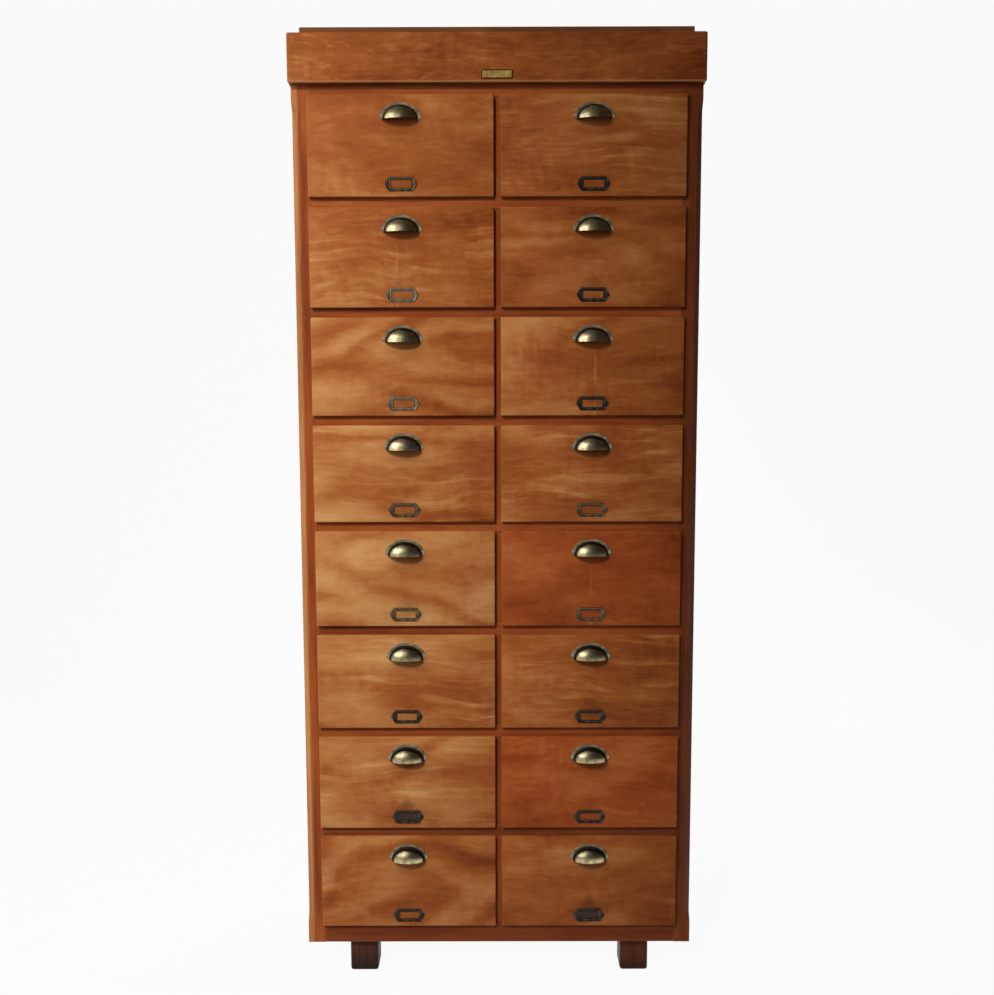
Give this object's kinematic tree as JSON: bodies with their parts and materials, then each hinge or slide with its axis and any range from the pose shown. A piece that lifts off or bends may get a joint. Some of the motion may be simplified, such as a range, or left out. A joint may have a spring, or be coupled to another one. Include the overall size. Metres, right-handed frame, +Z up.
{
  "type": "notary cabinet",
  "caption": "Tall wooden notary cabinet: two columns of lipped drawers with brass cup pulls and label frames, plank cornice, chamfered stiles and block feet.",
  "frame": {"origin": "on the floor, at the middle of the footprint of the whole cabinet, pulls included", "axes": "+Z up, +X to the right seen from the front, +Y towards the back; the drawers open towards -Y"},
  "size_m": [0.8776, 0.4366, 2.0947],
  "materials": {
    "drawer_veneer": "honey-brown figured veneer, satin varnish",
    "cornice_veneer": "honey-brown flecked wood, satin varnish, worn lower edge",
    "frame_wood": "red-brown stained wood, satin varnish",
    "inner_wood": "plain unvarnished wood",
    "foot_wood": "dark brown stained wood",
    "antique_brass": "antique brass, half polished"
  },
  "bodies": {
    "carcass": {"side_left": "frame_wood", "side_right": "frame_wood", "stile_left": "frame_wood", "stile_right": "frame_wood", "centre_divider": "frame_wood", "bottom_rail": "frame_wood", "rail_1": "frame_wood", "rail_2": "frame_wood", "rail_3": "frame_wood", "rail_4": "frame_wood", "rail_5": "frame_wood", "rail_6": "frame_wood", "rail_7": "frame_wood", "top_rail": "frame_wood", "bottom_board": "inner_wood", "back_panel": "inner_wood", "cornice_front": "cornice_veneer", "cornice_return_left": "cornice_veneer", "cornice_return_right": "cornice_veneer", "top_board": "frame_wood", "name_plate": "antique_brass", "foot_front_left": "foot_wood", "foot_front_right": "foot_wood", "foot_rear_left": "foot_wood", "foot_rear_right": "foot_wood"},
    "drawer_r1_left": {"drawer_r1_left": "drawer_veneer", "cup_pull_r1_left": "antique_brass"},
    "drawer_r1_right": {"drawer_r1_right": "drawer_veneer", "cup_pull_r1_right": "antique_brass"},
    "drawer_r2_left": {"drawer_r2_left": "drawer_veneer", "cup_pull_r2_left": "antique_brass"},
    "drawer_r2_right": {"drawer_r2_right": "drawer_veneer", "cup_pull_r2_right": "antique_brass"},
    "drawer_r3_left": {"drawer_r3_left": "drawer_veneer", "cup_pull_r3_left": "antique_brass"},
    "drawer_r3_right": {"drawer_r3_right": "drawer_veneer", "cup_pull_r3_right": "antique_brass"},
    "drawer_r4_left": {"drawer_r4_left": "drawer_veneer", "cup_pull_r4_left": "antique_brass"},
    "drawer_r4_right": {"drawer_r4_right": "drawer_veneer", "cup_pull_r4_right": "antique_brass"},
    "drawer_r5_left": {"drawer_r5_left": "drawer_veneer", "cup_pull_r5_left": "antique_brass"},
    "drawer_r5_right": {"drawer_r5_right": "drawer_veneer", "cup_pull_r5_right": "antique_brass"},
    "drawer_r6_left": {"drawer_r6_left": "drawer_veneer", "cup_pull_r6_left": "antique_brass"},
    "drawer_r6_right": {"drawer_r6_right": "drawer_veneer", "cup_pull_r6_right": "antique_brass"},
    "drawer_r7_left": {"drawer_r7_left": "drawer_veneer", "cup_pull_r7_left": "antique_brass"},
    "drawer_r7_right": {"drawer_r7_right": "drawer_veneer", "cup_pull_r7_right": "antique_brass"},
    "drawer_r8_left": {"drawer_r8_left": "drawer_veneer", "cup_pull_r8_left": "antique_brass"},
    "drawer_r8_right": {"drawer_r8_right": "drawer_veneer", "cup_pull_r8_right": "antique_brass"}
  },
  "joints": [
    {"name": "drawer_r1_left_slide", "type": "slide", "parent": "carcass", "child": "drawer_r1_left", "axis": [0, -1, 0], "range_m": [0, 0.27]},
    {"name": "drawer_r1_right_slide", "type": "slide", "parent": "carcass", "child": "drawer_r1_right", "axis": [0, -1, 0], "range_m": [0, 0.27]},
    {"name": "drawer_r2_left_slide", "type": "slide", "parent": "carcass", "child": "drawer_r2_left", "axis": [0, -1, 0], "range_m": [0, 0.27]},
    {"name": "drawer_r2_right_slide", "type": "slide", "parent": "carcass", "child": "drawer_r2_right", "axis": [0, -1, 0], "range_m": [0, 0.27]},
    {"name": "drawer_r3_left_slide", "type": "slide", "parent": "carcass", "child": "drawer_r3_left", "axis": [0, -1, 0], "range_m": [0, 0.27]},
    {"name": "drawer_r3_right_slide", "type": "slide", "parent": "carcass", "child": "drawer_r3_right", "axis": [0, -1, 0], "range_m": [0, 0.27]},
    {"name": "drawer_r4_left_slide", "type": "slide", "parent": "carcass", "child": "drawer_r4_left", "axis": [0, -1, 0], "range_m": [0, 0.27]},
    {"name": "drawer_r4_right_slide", "type": "slide", "parent": "carcass", "child": "drawer_r4_right", "axis": [0, -1, 0], "range_m": [0, 0.27]},
    {"name": "drawer_r5_left_slide", "type": "slide", "parent": "carcass", "child": "drawer_r5_left", "axis": [0, -1, 0], "range_m": [0, 0.27]},
    {"name": "drawer_r5_right_slide", "type": "slide", "parent": "carcass", "child": "drawer_r5_right", "axis": [0, -1, 0], "range_m": [0, 0.27]},
    {"name": "drawer_r6_left_slide", "type": "slide", "parent": "carcass", "child": "drawer_r6_left", "axis": [0, -1, 0], "range_m": [0, 0.27]},
    {"name": "drawer_r6_right_slide", "type": "slide", "parent": "carcass", "child": "drawer_r6_right", "axis": [0, -1, 0], "range_m": [0, 0.27]},
    {"name": "drawer_r7_left_slide", "type": "slide", "parent": "carcass", "child": "drawer_r7_left", "axis": [0, -1, 0], "range_m": [0, 0.27]},
    {"name": "drawer_r7_right_slide", "type": "slide", "parent": "carcass", "child": "drawer_r7_right", "axis": [0, -1, 0], "range_m": [0, 0.27]},
    {"name": "drawer_r8_left_slide", "type": "slide", "parent": "carcass", "child": "drawer_r8_left", "axis": [0, -1, 0], "range_m": [0, 0.27]},
    {"name": "drawer_r8_right_slide", "type": "slide", "parent": "carcass", "child": "drawer_r8_right", "axis": [0, -1, 0], "range_m": [0, 0.27]}
  ]
}
